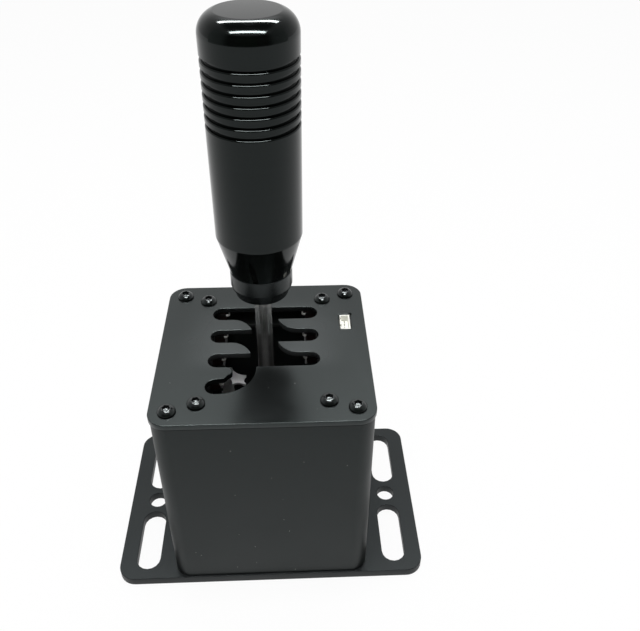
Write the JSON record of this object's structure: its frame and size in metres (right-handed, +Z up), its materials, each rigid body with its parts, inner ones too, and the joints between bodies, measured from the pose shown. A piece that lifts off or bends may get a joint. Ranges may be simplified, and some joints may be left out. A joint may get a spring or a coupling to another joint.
{
  "type": "gear shifter",
  "caption": "H-pattern gear shifter for a driving simulator: grooved knob on a steel lever, gate plate over a square housing, slotted base plate for bolting down.",
  "frame": {"origin": "centre of the base plate's underside", "axes": "+Z up along the lever, +X along the gate's lanes to the right of the picture, +Y away from the picture's viewer, across the lanes"},
  "size_m": [0.16, 0.102, 0.2719],
  "materials": {
    "satin_black": "fine satin black powder coat",
    "knob_black": "black anodised, semi-gloss",
    "black_screw": "black oxide",
    "bright_steel": "bright drawn",
    "zinc": "zinc plated",
    "spring_steel": "bright spring wire",
    "board": "black solder mask",
    "header": "natural nylon",
    "switch_case": "dark red moulding",
    "chip": "moulded epoxy"
  },
  "bodies": {
    "base": {"base_plate": "satin_black", "housing": "satin_black", "gate_plate": "satin_black", "cover_screw_1": "black_screw", "cover_screw_2": "black_screw", "cover_screw_3": "black_screw", "cover_screw_4": "black_screw", "board_screw_1": "black_screw", "board_screw_2": "black_screw", "board_screw_3": "black_screw", "board_screw_4": "black_screw", "base_screw_1": "zinc", "base_screw_2": "zinc", "base_screw_3": "zinc", "base_screw_4": "zinc", "board_spacer_1": "zinc", "board_spacer_2": "zinc", "board_spacer_3": "zinc", "board_spacer_4": "zinc", "bracket_screw_1": "zinc", "bracket_screw_2": "zinc", "bracket_screw_3": "zinc", "bracket_screw_4": "zinc", "switch_board": "board", "controller_chip": "chip", "header_socket": "header", "switch_left_1": "switch_case", "switch_left_2": "switch_case", "switch_left_3": "switch_case", "switch_left_4": "switch_case", "switch_right_1": "switch_case", "switch_right_2": "switch_case", "switch_right_3": "switch_case", "pivot_bracket": "zinc", "select_spring_rear": "spring_steel", "select_spring_front": "spring_steel", "rear_stay": "zinc", "stay_screw_left": "zinc", "stay_screw_right": "zinc"},
    "cradle": {"select_cradle": "zinc", "select_pin_left": "bright_steel", "select_pin_right": "bright_steel", "throw_axle": "bright_steel", "axle_clip": "spring_steel"},
    "lever": {"lever_hub": "zinc", "hub_set_screw": "black_screw", "lever_shaft": "bright_steel", "knob_lock_nut": "knob_black", "knob_collar": "knob_black", "knob_body": "knob_black"},
    "blade_left_1": {"switch_lever_left_1": "bright_steel"},
    "blade_left_2": {"switch_lever_left_2": "bright_steel"},
    "blade_left_3": {"switch_lever_left_3": "bright_steel"},
    "blade_left_4": {"switch_lever_left_4": "bright_steel"},
    "blade_right_1": {"switch_lever_right_1": "bright_steel"},
    "blade_right_2": {"switch_lever_right_2": "bright_steel"},
    "blade_right_3": {"switch_lever_right_3": "bright_steel"}
  },
  "joints": [
    {"name": "select", "type": "hinge", "parent": "base", "child": "cradle", "pos_m": [0, 0.009, 0.032], "axis": [1, 0, 0], "range_deg": [-12.1, 12.1], "stiffness_Nm_per_rad": 6, "deforming": ["select_spring_rear", "select_spring_front"]},
    {"name": "throw", "type": "hinge", "parent": "cradle", "child": "lever", "pos_m": [0, 0.009, 0.032], "axis": [0, 1, 0], "range_deg": [-14, 14]},
    {"name": "switch_left_1_press", "type": "hinge", "parent": "base", "child": "blade_left_1", "pos_m": [-0.0246, 0.03238, 0.1131], "axis": [0, 0, 1], "range_deg": [0, 8], "stiffness_Nm_per_rad": 0.004, "springref_deg": -11.46},
    {"name": "switch_left_2_press", "type": "hinge", "parent": "base", "child": "blade_left_2", "pos_m": [-0.0246, 0.01489, 0.1131], "axis": [0, 0, 1], "range_deg": [0, 8], "stiffness_Nm_per_rad": 0.004, "springref_deg": -11.46},
    {"name": "switch_left_3_press", "type": "hinge", "parent": "base", "child": "blade_left_3", "pos_m": [-0.0246, -0.00238, 0.1131], "axis": [0, 0, 1], "range_deg": [0, 8], "stiffness_Nm_per_rad": 0.004, "springref_deg": -11.46},
    {"name": "switch_left_4_press", "type": "hinge", "parent": "base", "child": "blade_left_4", "pos_m": [-0.0246, -0.01965, 0.1131], "axis": [0, 0, 1], "range_deg": [0, 8], "stiffness_Nm_per_rad": 0.004, "springref_deg": -11.46},
    {"name": "switch_right_1_press", "type": "hinge", "parent": "base", "child": "blade_right_1", "pos_m": [0.0246, 0.03238, 0.1131], "axis": [0, 0, -1], "range_deg": [0, 8], "stiffness_Nm_per_rad": 0.004, "springref_deg": -11.46},
    {"name": "switch_right_2_press", "type": "hinge", "parent": "base", "child": "blade_right_2", "pos_m": [0.0246, 0.01489, 0.1131], "axis": [0, 0, -1], "range_deg": [0, 8], "stiffness_Nm_per_rad": 0.004, "springref_deg": -11.46},
    {"name": "switch_right_3_press", "type": "hinge", "parent": "base", "child": "blade_right_3", "pos_m": [0.0246, -0.00238, 0.1131], "axis": [0, 0, -1], "range_deg": [0, 8], "stiffness_Nm_per_rad": 0.004, "springref_deg": -11.46}
  ]
}
